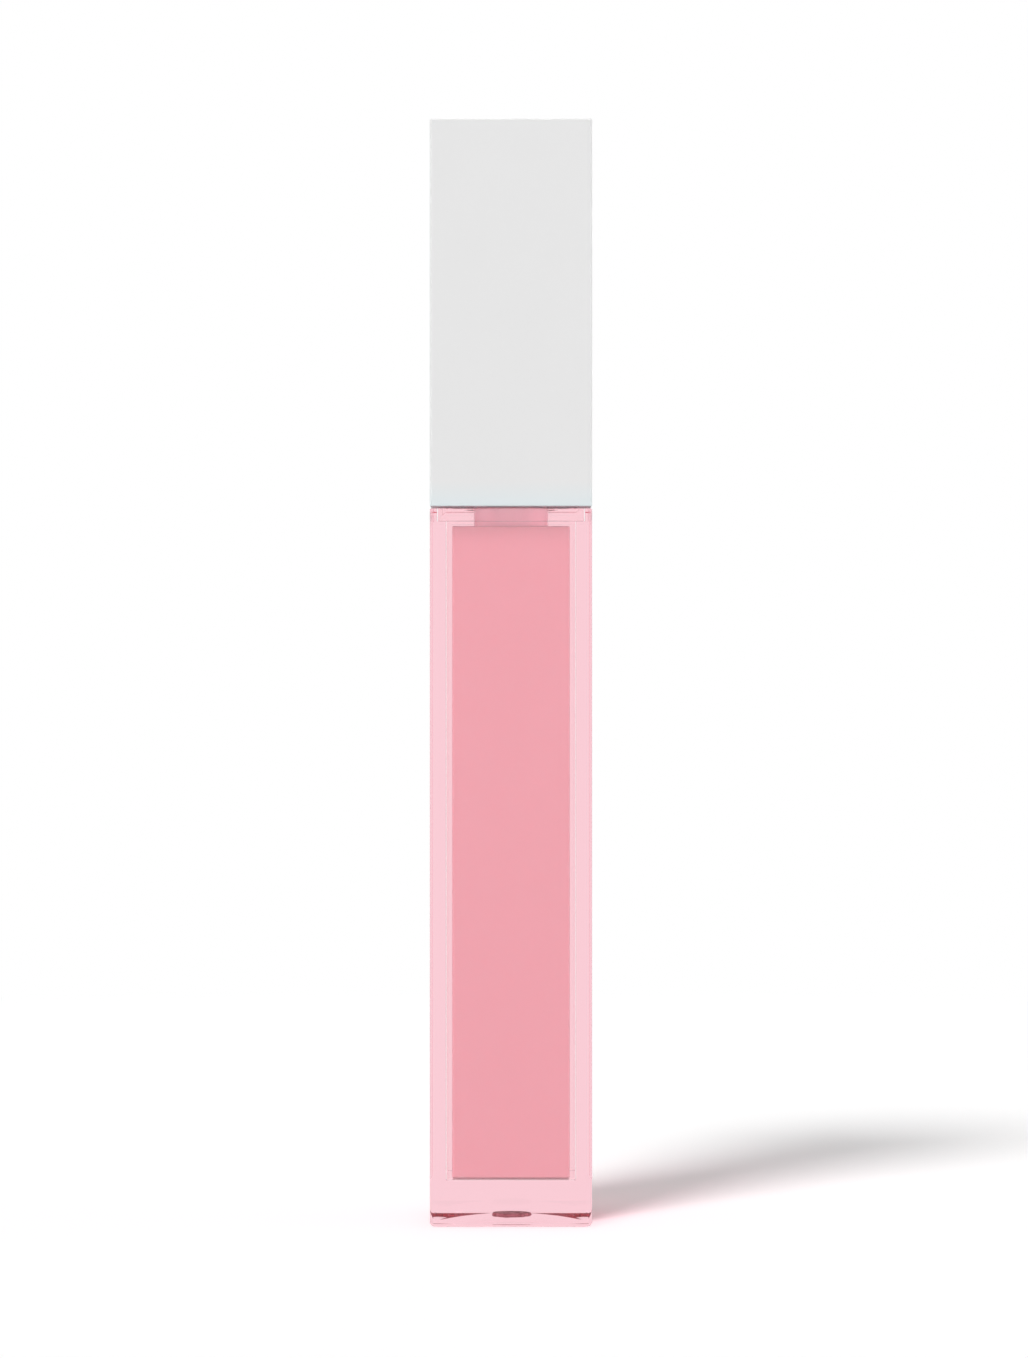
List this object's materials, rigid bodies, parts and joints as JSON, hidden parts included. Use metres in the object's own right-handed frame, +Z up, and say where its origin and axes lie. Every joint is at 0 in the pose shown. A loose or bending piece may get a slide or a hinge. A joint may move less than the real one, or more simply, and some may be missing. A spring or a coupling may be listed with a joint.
{
  "type": "lip gloss tube",
  "caption": "Square thick-walled clear lip gloss tube with a pink fill, a tall square white screw cap and a doe-foot wand that unscrews and pulls out.",
  "frame": {"origin": "centre of the square base, in the plane that the tube stands on", "axes": "+Z up along the tube's axis towards the cap, -Y out of the front face, +X to the right seen from the front"},
  "size_m": [0.016, 0.016, 0.1092],
  "materials": {
    "clear_shell": "clear moulded styrene with a faint pink cast, polished",
    "clear_vial": "clear moulded plastic, polished",
    "gloss": "opaque pink lip gloss, wet",
    "soft_plastic": "milky polyethylene",
    "liner_foam": "white closed-cell foam",
    "white_cap": "satin white moulded plastic",
    "cap_plastic": "milky polypropylene",
    "stem_plastic": "milky polypropylene",
    "core_plastic": "milky plastic",
    "flock": "short flocked nylon fibre"
  },
  "bodies": {
    "bottle": {"bottle_shell": "clear_shell", "inner_vial": "clear_vial", "lip_gloss": "gloss", "wiper": "soft_plastic"},
    "seal": {"cap_seal": "liner_foam"},
    "wand": {"wand_stem": "stem_plastic"},
    "cap": {"outer_cap": "white_cap", "inner_cap": "cap_plastic", "applicator_core": "core_plastic", "applicator_flock": "flock"}
  },
  "joints": [
    {"name": "cap_lift", "type": "slide", "parent": "bottle", "child": "seal", "axis": [0, 0, 1], "range_m": [0, 0.08]},
    {"name": "thread_rise", "type": "slide", "parent": "seal", "child": "wand", "axis": [0, 0, 1], "range_m": [0, 0.0032]},
    {"name": "cap_turn", "type": "hinge", "parent": "wand", "child": "cap", "pos_m": [0, 0, 0], "axis": [0, 0, 1], "range_deg": [0, 540]}
  ],
  "couplings": [
    {"joint": "thread_rise", "follows": "cap_turn", "m_per_rad": 0.00033423}
  ]
}
